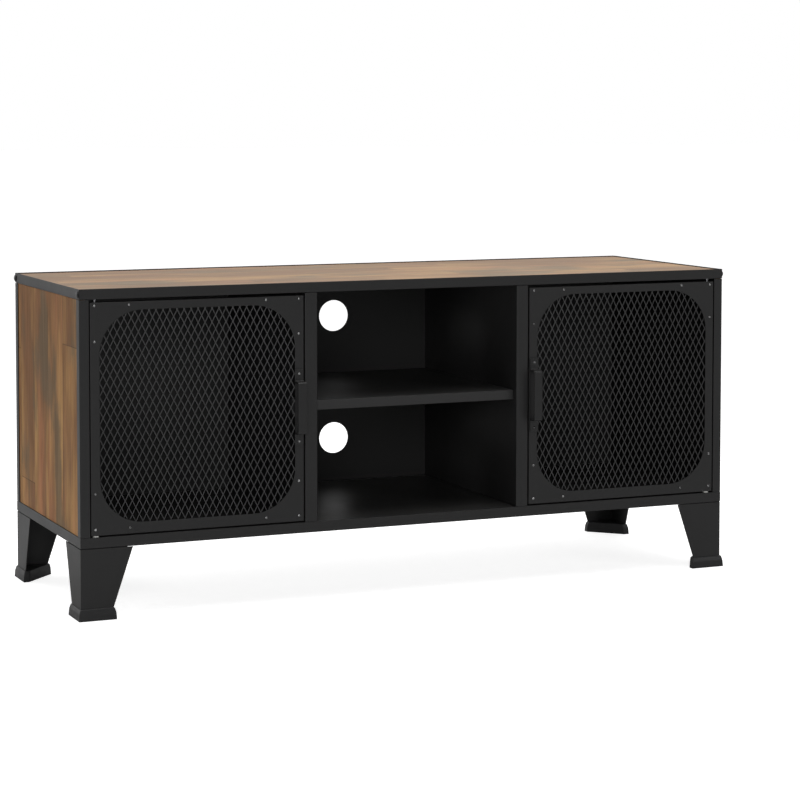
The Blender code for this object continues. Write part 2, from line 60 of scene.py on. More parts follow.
SIDES = {"left": -1, "right": 1}
CORNERS = {
    "front_left": (-1, -1),
    "front_right": (1, -1),
    "rear_left": (-1, 1),
    "rear_right": (1, 1),
}
MERGE = 2e-6  # points closer than this are one
TRIM = 2e-5  # shorter edges than this are left out where the mesh is trimmed
FLAT = math.radians(1)  # faces within this angle are one flat face
FOLD = math.radians(40)  # edges sharper than this are rounded, and the others belong to a fold
SMOOTH = math.radians(35)  # edges sharper than this stay sharp when the faces are shaded
WIDE = 0.006  # faces wider than this lie along a sheet, and the others are its cut edges
FOOT_ARM = 0.0095  # width of a foot's two arms around the leg
FOOT_STEPS = ((0.62, 0.0008), (0.38, 0.0020))  # share of a foot's height, and how far it draws in
RIVET_MARGIN = 0.0030  # from a corner rivet to the edges of the mesh
RIVET_RAISED = 0.0010  # how much further in the lowest rivets are
RIVET_GRIP = 0.0035
PULL_GRIP = 0.0045
PULL_STEEL = 0.0023  # from the door's front to the front of a pull's foot
PULL_RIVET_END = 0.0065  # from a pull's end to its rivet
SOFTBOXES = {
    "key_softbox": ((2.4, -2.9, 1.5), (1.2, 1.2)),
    "fill_softbox": ((-1.7, -3.7, 1.15), (1.6, 1.2)),
    "edge_strip": ((-2.3, 2.2, 1.2), (1.4, 1.8)),
    "top_softbox": ((0.2, -0.2, 2.6), (2.6, 1.8)),
}
AIM = (0, 0, 0.3)  # where the softboxes look


def size_property(name, description, default, **more):
    return FloatProperty(
        name=name, description=description, default=default, unit="LENGTH", precision=4, **more
    )


def colour_property(name, description, default):
    return FloatVectorProperty(
        name=name, description=description, default=default, subtype="COLOR", min=0, max=1
    )


def share_property(name, description, default):
    return FloatProperty(name=name, description=description, default=default, min=0, max=1)


class WoodLooks(PropertyGroup):
    """Colours and scale of the rustic oak decor."""

    brown: colour_property("Brown", "Main tone of the decor", (0.200, 0.095, 0.040))
    honey: colour_property("Honey", "Lighter, yellower tone", (0.430, 0.240, 0.090))
    russet: colour_property("Russet", "Redder tone in some planks", (0.400, 0.165, 0.075))
    weathered: colour_property("Weathered", "Grey of worn patches", (0.128, 0.098, 0.058))
    pore: colour_property("Pore", "Darkest grain and cracks", (0.045, 0.024, 0.012))
    # The top's decor is drawn paler than the sides' towards this tone: painted sheen of the top's
    # grazing reflection.
    pale: colour_property("Pale", "What the top's decor is drawn towards", (0.420, 0.360, 0.290))
    painted_sheen: share_property("Painted_sheen", "How far the top is paler than the sides", 0.30)
    reverse: colour_property("Reverse", "Black of the faces inside the cabinet", (0.010, 0.010, 0.010))
    plank_width: size_property("Plank width", "Width of one printed plank", 0.078)
    plank_length: size_property("Plank length", "Length of one printed plank", 0.62)
    roughness: share_property("Roughness", "Mean roughness of the foil", 0.50)


class SteelLooks(PropertyGroup):
    """Powder coat of the sheet steel."""

    colour: colour_property("Colour", "Black of the powder coat", (0.0120, 0.0118, 0.0119))
    dust: colour_property("Dust", "Colour of the fine dust on upward faces", (0.060, 0.058, 0.054))
    roughness: share_property("Roughness", "Mean roughness of the coat", 0.42)
    gloss: share_property("Gloss", "Strength of the coat's mirror reflection", 0.32)
    edge_radius: size_property("Edge radius", "How far a cut edge is rounded by the coat", 0.0004)
    fold_radius: size_property("Fold radius", "Outer radius of a fold", 0.0014)


class MeshLooks(PropertyGroup):
    """Size of the expanded metal behind the doors' openings."""

    pitch_across: size_property("Pitch across", "Width of one diamond", 0.0105)
    pitch_along: size_property("Pitch along", "Height of one diamond", 0.0200)
    strand: size_property("Strand", "Width of a strand", 0.0011)
    thickness: size_property("Thickness", "Thickness of the sheet", 0.0009)
    tilt: size_property("Tilt", "How far stretching turns a strand's edges out of the sheet", 0.0006)


class HardwareLooks(PropertyGroup):
    """Rivets, screws, feet and pulls."""

    rivet_radius: size_property("Rivet radius", "Radius of a rivet's head", 0.0020)
    rivet_height: size_property("Rivet height", "Height of a rivet's head", 0.0012)
    rivet_inboard: size_property("Rivet spacing", "From a corner rivet to its neighbours", 0.0508)
    foot_edge: size_property("Foot edge", "Radius of a foot's moulded edges", 0.0010)
    pull_edge: size_property("Pull edge", "Radius of the pull's edges", 0.0005)
    turns: IntProperty(name="Facets", description="Facets around a round piece", default=20, min=8)


class StageLooks(PropertyGroup):
    """Camera, floor and light."""

    camera_place: FloatVectorProperty(
        name="Camera place",
        description="Where the camera stands",
        default=(-1.4482, -3.4053, 0.7359),
        subtype="TRANSLATION",
        unit="LENGTH",
    )
    camera_turn: FloatProperty(
        name="Camera turn",
        description="How far the camera looks towards the right",
        default=0.4004,
        subtype="ANGLE",
    )
    camera_tilt: FloatProperty(
        name="Camera tilt",
        description="How far the camera looks down",
        default=0.05875,
        subtype="ANGLE",
    )
    lens: FloatProperty(name="Lens", description="Focal length in mm", default=107.83)
    shift: FloatVectorProperty(
        name="Shift", description="Lens shift across and up", size=2, default=(0.0375, -0.2)
    )
    floor: colour_property("Floor", "Colour of the pale floor", (0.75, 0.75, 0.75))
    floor_glow: share_property("Floor glow", "How much lighter the floor looks than it lights", 0.80)
    backdrop: share_property("Backdrop", "Light of the room behind the stand", 0.58)
    room: share_property("Room", "Light of the room in front of the stand", 0.08)
    key_power: FloatProperty(
        name="Key power", description="Power of the softbox at the front right", default=20.0
    )
    fill_power: FloatProperty(
        name="Fill power", description="Power of the softbox beside the camera", default=44.0
    )
    edge_power: FloatProperty(
        name="Edge power", description="Power of the softbox behind the stand on the left", default=22.0
    )
    top_power: FloatProperty(
        name="Top power", description="Power of the softbox overhead", default=52.0
    )


class StandLooks(PropertyGroup):
    """All settings of the stand's looks."""

    wood: PointerProperty(type=WoodLooks)
    steel: PointerProperty(type=SteelLooks)
    mesh: PointerProperty(type=MeshLooks)
    hardware: PointerProperty(type=HardwareLooks)
    stage: PointerProperty(type=StageLooks)


# Node trees


def add_node(tree, kind, inputs=None, **settings):
    """A new node with its settings, and each input given as a value or as a socket to join."""
    node = tree.nodes.new(kind)
    for name, value in settings.items():
        setattr(node, name, value)
    for key, value in (inputs or {}).items():
        if isinstance(value, bpy.types.NodeSocket):
            tree.links.new(value, node.inputs[key])
        else:
            node.inputs[key].default_value = value
    return node


def calculate(tree, operation, *values):
    """The output of a Math node."""
    inputs = dict(enumerate(values))
    return add_node(tree, "ShaderNodeMath", inputs, operation=operation).outputs[0]


def rescale(tree, value, low, high, new_low=0.0, new_high=1.0, smooth=True):
    """A value between low and high, taken to new limits and held there."""
    inputs = {
        "Value": value,
        "From Min": low,
        "From Max": high,
        "To Min": new_low,
        "To Max": new_high,
    }
    kind = "SMOOTHSTEP" if smooth else "LINEAR"
    node = add_node(tree, "ShaderNodeMapRange", inputs, interpolation_type=kind)
    return node.outputs["Result"]


def blend_colours(tree, share, first, second, how="MIX"):
    """The result of a colour Mix node."""
    node = add_node(tree, "ShaderNodeMix", data_type="RGBA", blend_type=how)
    for socket, value in zip(
        (node.inputs["Factor"], node.inputs[6], node.inputs[7]), (share, first, second)
    ):
        if isinstance(value, bpy.types.NodeSocket):
            tree.links.new(value, socket)
        else:
            socket.default_value = value
    return node.outputs[2]


def noise(tree, vector, scale, detail=2.0, roughness=0.5):
    inputs = {"Vector": vector, "Scale": scale, "Detail": detail, "Roughness": roughness}
    return add_node(tree, "ShaderNodeTexNoise", inputs).outputs["Fac"]


def stretched(tree, vector, scale):
    """A vector scaled by a different amount along each axis."""
    inputs = {0: vector, 1: scale}
    return add_node(tree, "ShaderNodeVectorMath", inputs, operation="MULTIPLY").outputs[0]


def new_group(name, inputs, outputs):
    """A node group with sockets of the given kinds, its input node and its output node."""
    group = bpy.data.node_groups.new(name, "ShaderNodeTree")
    for direction, sockets in (("INPUT", inputs), ("OUTPUT", outputs)):
        for socket, kind in sockets.items():
            group.interface.new_socket(socket, in_out=direction, socket_type="NodeSocket" + kind)
    return group, group.nodes.new("NodeGroupInput"), group.nodes.new("NodeGroupOutput")


def join_outputs(group, node, values):
    for name, socket in values.items():
        group.links.new(socket, node.inputs[name])


def wood_group():
    """Printed planks: tone by plank, worn patches, grain, pores and the joints between planks."""
    group, given, result = new_group(
        "rustic_oak",
        {
            "Vector": "Vector",
            "Brown": "Color",
            "Honey": "Color",
            "Russet": "Color",
            "Weathered": "Color",
            "Pore": "Color",
            "Plank Width": "Float",
            "Plank Length": "Float",
        },
        {"Color": "Color", "Roughness": "Float", "Height": "Float"},
    )
    place = given.outputs["Vector"]
    axes = add_node(group, "ShaderNodeSeparateXYZ", {0: place})
    along, across = axes.outputs["X"], axes.outputs["Y"]
    wander = noise(group, stretched(group, place, (2.2, 5.0, 5.0)), 1.0, 2.0)
    wander = calculate(group, "MULTIPLY", calculate(group, "SUBTRACT", wander, 0.5), 0.012)
    rows = calculate(
        group, "DIVIDE", calculate(group, "ADD", across, wander), given.outputs["Plank Width"]
    )
    row = calculate(group, "FLOOR", rows)
    row_chance = add_node(group, "ShaderNodeTexWhiteNoise", {"W": row}, noise_dimensions="1D")
    start = calculate(group, "MULTIPLY", row_chance.outputs["Value"], 5.0)
    columns = calculate(
        group,
        "ADD",
        calculate(group, "DIVIDE", along, given.outputs["Plank Length"]),
        start,
    )
    column = calculate(group, "FLOOR", columns)
    plank = add_node(group, "ShaderNodeCombineXYZ", {0: row, 1: column, 2: 3.0})
    chance = add_node(
        group, "ShaderNodeTexWhiteNoise", {"Vector": plank.outputs[0]}, noise_dimensions="3D"
    )
    chances = add_node(group, "ShaderNodeSeparateColor", {0: chance.outputs["Color"]})
    # Each plank has its own stretch of the pattern.
    offset = stretched(group, chance.outputs["Color"], (0.7, 0.5, 0.3))
    own = add_node(group, "ShaderNodeVectorMath", {0: place, 1: offset}, operation="ADD").outputs[0]
    cloud = noise(group, stretched(group, own, (3.2, 16.0, 16.0)), 1.0, 4.0, 0.6)
    tone = calculate(
        group,
        "ADD",
        calculate(group, "MULTIPLY", chance.outputs["Value"], 0.28),
        calculate(group, "MULTIPLY", rescale(group, cloud, 0.3, 0.7, smooth=False), 0.72),
    )
    colour = blend_colours(
        group,
        rescale(group, tone, 0.25, 0.85),
        given.outputs["Brown"],
        given.outputs["Honey"],
    )
    red = noise(group, stretched(group, own, (3.5, 17.0, 17.0)), 1.7, 3.0)
    red = calculate(group, "MULTIPLY", rescale(group, red, 0.45, 0.7), chances.outputs[1])
    colour = blend_colours(group, red, colour, given.outputs["Russet"])
    worn = noise(group, stretched(group, place, (3.4, 9.0, 9.0)), 1.3, 5.0, 0.6)
    worn = calculate(group, "MULTIPLY", rescale(group, worn, 0.50, 0.64), 0.72)
    colour = blend_colours(group, worn, colour, given.outputs["Weathered"])
    grain = noise(group, stretched(group, own, (9.0, 330.0, 330.0)), 1.0, 5.0, 0.65)
    grain = rescale(group, grain, 0.32, 0.68, smooth=False)
    strength = rescale(group, grain, 0.0, 1.0, 0.80, 1.16, smooth=False)
    shade = add_node(group, "ShaderNodeCombineColor", {0: strength, 1: strength, 2: strength})
    colour = blend_colours(group, 1.0, colour, shade.outputs[0], "MULTIPLY")
    fleck = noise(group, stretched(group, own, (42.0, 620.0, 620.0)), 1.0, 2.0, 0.5)
    fleck = rescale(group, fleck, 0.64, 0.74)
    crack = noise(group, stretched(group, own, (7.0, 150.0, 150.0)), 1.0, 2.0, 0.4)
    crack = rescale(group, crack, 0.72, 0.78)
    mark = calculate(group, "MAXIMUM", calculate(group, "MULTIPLY", fleck, 0.55), crack)
    colour = blend_colours(
        group, calculate(group, "MULTIPLY", mark, 0.7), colour, given.outputs["Pore"]
    )
    edge = calculate(group, "PINGPONG", rows, 0.5)
    end = calculate(group, "PINGPONG", columns, 0.5)
    joint = calculate(
        group,
        "MAXIMUM",
        rescale(group, edge, 0.004, 0.012, 1.0, 0.0),
        rescale(group, end, 0.0006, 0.0016, 1.0, 0.0),
    )
    colour = blend_colours(
        group, calculate(group, "MULTIPLY", joint, 0.55), colour, given.outputs["Pore"]
    )
    height = calculate(group, "SUBTRACT", grain, calculate(group, "MAXIMUM", mark, joint))
    rough = rescale(group, grain, 0.0, 1.0, 0.06, -0.05, smooth=False)
    join_outputs(group, result, {"Color": colour, "Roughness": rough, "Height": height})
    return group


def coat_group():
    """Powder coat: fine orange peel, slight smudges, and dust where a face looks up."""
    group, given, result = new_group(
        "powder_coat",
        {"Vector": "Vector", "Color": "Color", "Dust": "Color", "Grain": "Float"},
        {"Color": "Color", "Roughness": "Float", "Height": "Float"},
    )
    place = given.outputs["Vector"]
    peel = noise(group, place, given.outputs["Grain"], 2.0, 0.6)
    smudge = noise(group, place, 7.0, 4.0, 0.6)
    smudge = rescale(group, smudge, 0.35, 0.7, smooth=False)
    facing = add_node(group, "ShaderNodeNewGeometry").outputs["Normal"]
    up = add_node(group, "ShaderNodeSeparateXYZ", {0: facing}).outputs["Z"]
    specks = rescale(group, noise(group, place, 900.0, 2.0, 0.7), 0.45, 0.75)
    settled = calculate(group, "MULTIPLY", rescale(group, up, 0.5, 1.0), 0.22)
    dust = calculate(group, "MULTIPLY", settled, calculate(group, "ADD", specks, smudge))
    colour = blend_colours(group, dust, given.outputs["Color"], given.outputs["Dust"])
    rough = calculate(
        group,
        "ADD",
        rescale(group, smudge, 0.0, 1.0, -0.035, 0.045, smooth=False),
        calculate(group, "MULTIPLY", peel, 0.05),
    )
    join_outputs(group, result, {"Color": colour, "Roughness": rough, "Height": peel})
    return group


def moulded_group():
    """Moulded or turned surface: a fine even grain and faint marks, which on the rivets are strong
    enough to be painted highlight and shade.
    """
    group, given, result = new_group(
        "fine_grain",
        {
            "Vector": "Vector",
            "Color": "Color",
            "Grain": "Float",
            "Marks": "Float",
            "Contrast": "Float",
        },
        {"Color": "Color", "Roughness": "Float", "Height": "Float"},
    )
    place = given.outputs["Vector"]
    grain = noise(group, place, given.outputs["Grain"], 3.0, 0.6)
    marks = noise(group, place, given.outputs["Marks"], 3.0, 0.6)
    shade = rescale(group, marks, 0.3, 0.7, -1.0, 1.0, smooth=False)
    shade = calculate(group, "MULTIPLY_ADD", shade, given.outputs["Contrast"], 1.0)
    shade = add_node(group, "ShaderNodeCombineColor", {0: shade, 1: shade, 2: shade})
    colour = blend_colours(group, 1.0, given.outputs["Color"], shade.outputs[0], "MULTIPLY")
    rough = rescale(group, marks, 0.3, 0.7, -0.06, 0.06, smooth=False)
    join_outputs(group, result, {"Color": colour, "Roughness": rough, "Height": grain})
    return group


def group_named(name, maker):
    return bpy.data.node_groups.get(name) or maker()


def new_material(name, group, inputs, roughness, depth, vector=None, **shader_values):
    """A Principled surface fed by a node group: its colour, its roughness round a mean, and a bump."""
    material = bpy.data.materials.new(name)
    material.use_nodes = True
    tree = material.node_tree
    shader = tree.nodes["Principled BSDF"]
    place = add_node(tree, "ShaderNodeTexCoord").outputs["Object"]
    if vector:
        place = vector(tree, place)
    texture = add_node(tree, "ShaderNodeGroup", node_tree=group)
    tree.links.new(place, texture.inputs["Vector"])
    for key, value in inputs.items():
        texture.inputs[key].default_value = value
    tree.links.new(texture.outputs["Color"], shader.inputs["Base Color"])
    rough = calculate(tree, "ADD", texture.outputs["Roughness"], roughness)
    tree.links.new(rough, shader.inputs["Roughness"])
    bump = add_node(
        tree, "ShaderNodeBump", {"Height": texture.outputs["Height"], "Distance": depth}
    )
    tree.links.new(bump.outputs["Normal"], shader.inputs["Normal"])
    for key, value in shader_values.items():
        shader.inputs[key.replace("_", " ")].default_value = value
    return material


def opaque(colour):
    return (*colour, 1.0)


def oak_material(name, looks, upright, reverse):
    """Oak decor with its grain along the width, or upright on the side panels, and black inside; on the
    top it is drawn paler as painted sheen.

    The reverse is how far out, or on the top how high up, the decor starts.
    """

    def turn(tree, place):
        axes = add_node(tree, "ShaderNodeSeparateXYZ", {0: place})
        swapped = {0: axes.outputs["Z"], 1: axes.outputs["Y"], 2: axes.outputs["X"]}
        return add_node(tree, "ShaderNodeCombineXYZ", swapped).outputs[0]

    # On the top every tone is drawn towards the pale tone: painted sheen, not a paler wood.
    painted_sheen = 0 if upright else looks.painted_sheen
    tones = {"Brown": looks.brown, "Honey": looks.honey, "Russet": looks.russet}
    tones.update({"Weathered": looks.weathered, "Pore": looks.pore})
    inputs = {
        tone: opaque(Vector(colour).lerp(Vector(looks.pale), painted_sheen))
        for tone, colour in tones.items()
    }
    inputs.update({"Plank Width": looks.plank_width, "Plank Length": looks.plank_length})
    material = new_material(
        name,
        group_named("rustic_oak", wood_group),
        inputs,
        looks.roughness,
        0.00012,
        vector=turn if upright else None,
        Specular_IOR_Level=0.04 if upright else 0.15,
    )
    tree = material.node_tree
    shader = tree.nodes["Principled BSDF"]
    decor = shader.inputs["Base Color"].links[0].from_socket
    place = add_node(tree, "ShaderNodeTexCoord").outputs["Object"]
    axes = add_node(tree, "ShaderNodeSeparateXYZ", {0: place})
    depth = calculate(tree, "ABSOLUTE", axes.outputs["X"]) if upright else axes.outputs["Z"]
    outside = rescale(tree, depth, reverse + 0.0003, reverse + 0.0006)
    colour = blend_colours(tree, outside, opaque(looks.reverse), decor)
    tree.links.new(colour, shader.inputs["Base Color"])
    return material


def coat_material(name, looks, roughness_change=0.0, grain=1500.0, depth=0.00003, tone=1.0):
    """The powder coat, or with another tone a paler black; on the back panel, shelf and mesh the paler
    black is painted light.
    """
    colour = opaque(Vector(looks.colour) * tone)
    inputs = {"Color": colour, "Dust": opaque(looks.dust), "Grain": grain}
    group = group_named("powder_coat", coat_group)
    roughness = looks.roughness + roughness_change
    return new_material(name, group, inputs, roughness, depth, Specular_IOR_Level=looks.gloss)


def grain_material(
    name, colour, roughness, grain, depth, marks=60.0, mark_and_painted_light_contrast=0.14, **shader_values
):
    inputs = {"Color": opaque(colour), "Grain": grain, "Marks": marks, "Contrast": mark_and_painted_light_contrast}
    group = group_named("fine_grain", moulded_group)
    return new_material(name, group, inputs, roughness, depth, **shader_values)


# Pieces


def dress(nodes, material):
    """Gives CAD nodes a finish."""
    for name in nodes:
        mesh = frame["nodes"][name].data
        mesh.materials.clear()
        mesh.materials.append(material)


def body_of(node):
    bodies = frame["record"]["behaviour"]["bodies"]
    return next(name for name, nodes in bodies.items() if node in nodes)


def add_piece(name, shape, material, body, stands_for=()):
    """Makes an object of a finished shape and hangs it on its body."""
    mesh = bpy.data.meshes.new(name)
    shape.to_mesh(mesh)
    shape.free()
    mesh.materials.append(material)
    mesh.shade_smooth()
    mesh.set_sharp_from_angle(angle=SMOOTH)
    piece = bpy.data.objects.new(name, mesh)
    bpy.context.scene.collection.objects.link(piece)
    weighted = piece.modifiers.new("weighted_normals", "WEIGHTED_NORMAL")
    weighted.keep_sharp = True
    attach(piece, body)
    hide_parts(*stands_for)
    return piece


def points_of(made):
    return [item for item in made if isinstance(item, bmesh.types.BMVert)]


def face_outwards(shape):
    shape.normal_update()
    bmesh.ops.recalc_face_normals(shape, faces=shape.faces)
    if shape.calc_volume(signed=True) < 0:
        bmesh.ops.reverse_faces(shape, faces=shape.faces)


def round_edges(shape, edges, radius, segments=2):
    bmesh.ops.bevel(
        shape,
        geom=edges,
        offset=radius,
        offset_type="OFFSET",
        affect="EDGES",
        segments=segments,
        profile=0.5,
        clamp_overlap=True,
        material=-1,
    )


def merged_copy(node):
    """A node's solid with its loose triangles joined into flat faces."""
    shape = bmesh.new()
    shape.from_mesh(frame["nodes"][node].data)
    bmesh.ops.remove_doubles(shape, verts=shape.verts, dist=MERGE)
    bmesh.ops.dissolve_limit(
        shape, angle_limit=FLAT, verts=shape.verts, edges=shape.edges, delimit={"NORMAL"}
    )
    return shape


def cut_edges(shape):
    return [edge for edge in shape.edges if edge.calc_face_angle(0) > FOLD]


def round_sheet(shape, looks):
    """Rounds the outer folds of sheet steel, and its cut edges less."""

    def is_wide(face):
        return face.calc_area() > WIDE * max(edge.calc_length() for edge in face.edges)

    folds = [
        edge
        for edge in shape.edges
        if edge.calc_face_angle_signed(0) > FOLD and all(is_wide(face) for face in edge.link_faces)
    ]
    round_edges(shape, folds, looks.fold_radius, segments=3)
    round_edges(shape, cut_edges(shape), looks.edge_radius)


def spun(profile, place, turns, axis=(0, -1, 0)):
    """A closed solid turned from (radius, height) points. The height runs along the axis."""
    shape = bmesh.new()
    points = [shape.verts.new((radius, 0, height)) for radius, height in profile]
    edges = [shape.edges.new(pair) for pair in zip(points, points[1:])]
    bmesh.ops.spin(
        shape,
        geom=points + edges,
        cent=(0, 0, 0),
        axis=(0, 0, 1),
        angle=math.tau,
        steps=turns,
        use_merge=True,
    )
    bmesh.ops.remove_doubles(shape, verts=shape.verts, dist=MERGE)
    face_outwards(shape)
    turn = Vector((0, 0, 1)).rotation_difference(Vector(axis)).to_matrix().to_4x4()
    shape.transform(Matrix.Translation(place) @ turn)
    return shape


def add_shape(target, source):
    """Adds a shape's solids to another shape."""
    mesh = bpy.data.meshes.new("part")
    source.to_mesh(mesh)
    source.free()
    target.from_mesh(mesh)
    bpy.data.meshes.remove(mesh)


def repeat(shape, count, step):
    """Lays copies of everything in a shape along a step, so that there are count in all."""
    first = shape.verts[:] + shape.edges[:] + shape.faces[:]
    for number in range(1, count):
        made = bmesh.ops.duplicate(shape, geom=first)["geom"]
        bmesh.ops.translate(shape, verts=points_of(made), vec=Vector(step) * number)


def expanded_sheet(low, high, looks):
    """Diamond rings side by side, trimmed to the sheet and given their thickness."""
    half = Vector((looks.pitch_across / 2, 0, looks.pitch_along / 2))
    shape = bmesh.new()
    corners = [(-half.x, 0, 0), (0, 0, -half.z), (half.x, 0, 0), (0, 0, half.z)]
    diamond = shape.faces.new([shape.verts.new(corner) for corner in corners])
    shape.normal_update()
    bmesh.ops.inset_individual(
        shape, faces=[diamond], thickness=looks.strand / 2, use_even_offset=True
    )
    for point in diamond.verts:
        point.co.y = looks.tilt * point.co.x / half.x
    bmesh.ops.delete(shape, geom=[diamond], context="FACES_ONLY")
    # One diamond more than fits is laid each way, so that the trimmed edges cut through strands.
    columns = math.ceil((high.x - low.x) / looks.pitch_across) + 2
    rows = math.ceil((high.z - low.z) / looks.pitch_along) + 2
    repeat(shape, columns, (looks.pitch_across, 0, 0))
    repeat(shape, 2, half)
    repeat(shape, rows, (0, 0, looks.pitch_along))
    bmesh.ops.remove_doubles(shape, verts=shape.verts, dist=MERGE)
    laid = Vector(((columns - 0.5) * looks.pitch_across, 0, (rows - 0.5) * looks.pitch_along))
    laid -= half
    bmesh.ops.translate(shape, verts=shape.verts, vec=(low + high) / 2 - laid / 2)
    for point, outward in (
        (low, (-1, 0, 0)),
        (low, (0, 0, -1)),
        (high, (1, 0, 0)),
        (high, (0, 0, 1)),
    ):
        bmesh.ops.bisect_plane(
            shape,
            geom=shape.verts[:] + shape.edges[:] + shape.faces[:],
            plane_co=point,
            plane_no=outward,
            clear_outer=True,
        )
    bmesh.ops.dissolve_degenerate(shape, dist=TRIM, edges=shape.edges)
    made = bmesh.ops.extrude_face_region(shape, geom=shape.faces[:])["geom"]
    bmesh.ops.translate(shape, verts=points_of(made), vec=(0, looks.thickness, 0))
    face_outwards(shape)
    return shape


def rivet(place, looks, grip):
    """A domed head in front of the sheets, a shank through them and a flat set end behind."""
    radius, height = looks.rivet_radius, looks.rivet_height
    bulge = 5
    dome = [
        (radius * math.sin(step / bulge * math.pi / 2), height * math.cos(step / bulge * math.pi / 2))
        for step in range(bulge + 1)
    ]
    shank, set_end = 0.55 * radius, 0.8 * radius
    profile = dome + [
        (shank, 0),
        (shank, -grip),
        (set_end, -grip),
        (set_end, -grip - height / 3),
        (0, -grip - height / 2),
    ]
    return spun(profile, place, looks.turns)


class StandOperator(Operator):
    """Base of the operators that dress the stand."""

    bl_options = {"REGISTER", "UNDO"}

    @property
    def looks(self):
        return bpy.context.scene.stand_looks


class STAND_OT_boards(StandOperator):
    """Give the top, the side panels and the base board their decor"""

    bl_idname = "stand.boards"
    bl_label = "Boards"

    def execute(self, context):
        looks = self.looks.wood
        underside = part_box("top_board")[0].z
        dress(["top_board"], oak_material("oak_top", looks, False, underside))
        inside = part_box("side_panel_right")[0].x
        sides = [f"side_panel_{side}" for side in SIDES]
        dress(sides, oak_material("oak_side", looks, True, inside))
        board = coat_material("black_board", self.looks.steel, -0.06, 260.0, 0.00002, 1.8)
        dress(["base_board"], board)
        return {"FINISHED"}


class STAND_OT_sheet_steel(StandOperator):
    """Round the cut edges of the folded steel and give it its powder coat"""

    bl_idname = "stand.sheet_steel"
    bl_label = "Sheet steel"

    def execute(self, context):
        looks = self.looks.steel
        coat = coat_material("black_coat", looks)
        # A paler copy of the black coat for the back panel and shelf: painted fill light in the bays.
        interior_painted_light_coat = coat_material("interior_painted_light_coat", looks, 0.04, tone=1.6)
        kinds = ("top_rail", "base_rail", "post", "divider", "shelf", "door_frame", "back_panel")
        for node in sorted(frame["nodes"]):
            if node.startswith(kinds):
                shape = merged_copy(node)
                round_sheet(shape, looks)
                material = interior_painted_light_coat if node in ("back_panel", "shelf") else coat
                add_piece(f"coated_{node}", shape, material, body_of(node), [node])
        return {"FINISHED"}


class STAND_OT_legs(StandOperator):
    """Round the sharp edges of the legs and coat them"""

    bl_idname = "stand.legs"
    bl_label = "Legs"

    def execute(self, context):
        looks = self.looks.steel
        coat = coat_material("leg_coat", looks, 0.02)
        for corner in CORNERS:
            node = f"leg_{corner}"
            shape = merged_copy(node)
            round_edges(shape, cut_edges(shape), looks.edge_radius)
            add_piece(f"coated_{node}", shape, coat, "cabinet", [node])
        return {"FINISHED"}


class STAND_OT_mesh_panels(StandOperator):
    """Put expanded metal behind the openings of both doors"""

    bl_idname = "stand.mesh_panels"
    bl_label = "Mesh panels"

    def execute(self, context):
        looks = self.looks.mesh
        # The same black coat made twice as pale: painted light on the mesh strands.
        coat = coat_material("mesh_painted_light_coat", self.looks.steel, -0.06, tone=2.0)
        for side in SIDES:
            low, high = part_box(f"door_mesh_{side}")
            low.y = high.y = low.y + looks.tilt
            add_piece(
                f"expanded_mesh_{side}",
                expanded_sheet(low, high, looks),
                coat,
                f"{side}_door",
                [f"door_mesh_{side}"],
            )
        return {"FINISHED"}


class STAND_OT_rivets(StandOperator):
    """Set the rivets that hold the mesh and the pull of each door"""

    bl_idname = "stand.rivets"
    bl_label = "Rivets"

    def execute(self, context):
        looks = self.looks.hardware
        # Large, strong marks make some rivets much brighter and others darker: painted highlight and
        # shade.
        metal = grain_material(
            "rivet_metal_painted_light", (0.22, 0.22, 0.22), 0.22, 900.0, 0.00001, 16.0, 0.7, Metallic=1.0
        )
        for side, sign in SIDES.items():
            low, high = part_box(f"door_mesh_{side}")
            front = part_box(f"door_frame_{side}")[0].y
            pull_low, pull_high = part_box(f"door_pull_{side}")
            inner = (pull_low.x + pull_high.x) / 2
            outer = sign * (max(abs(low.x), abs(high.x)) - RIVET_MARGIN)
            bottom, top = low.z + RIVET_MARGIN + RIVET_RAISED, high.z - RIVET_MARGIN
            step = looks.rivet_inboard
            places = []
            for z, towards in ((bottom, 1), (top, -1)):
                places += [(inner, z), (outer, z)]
                places += [(inner + sign * step, z), (outer - sign * step, z)]
                places += [(inner, z + towards * step), (outer, z + towards * step)]
            panel = bmesh.new()
            for x, z in places:
                add_shape(panel, rivet((x, front, z), looks, RIVET_GRIP))
            add_piece(f"mesh_rivets_{side}", panel, metal, f"{side}_door")
            handle = bmesh.new()
            for z in (pull_low.z + PULL_RIVET_END, pull_high.z - PULL_RIVET_END):
                add_shape(handle, rivet((inner, front - PULL_STEEL, z), looks, PULL_GRIP))
            add_piece(f"pull_rivets_{side}", handle, metal, f"{side}_door")
        return {"FINISHED"}


class STAND_OT_pulls(StandOperator):
    """Round the edges of the door pulls and coat them"""

    bl_idname = "stand.pulls"
    bl_label = "Pulls"

    def execute(self, context):
        coat = coat_material("pull_coat", self.looks.steel, -0.04)
        for side in SIDES:
            node = f"door_pull_{side}"
            shape = merged_copy(node)
            round_edges(shape, cut_edges(shape), self.looks.hardware.pull_edge)
            add_piece(f"coated_{node}", shape, coat, f"{side}_door", [node])
        return {"FINISHED"}


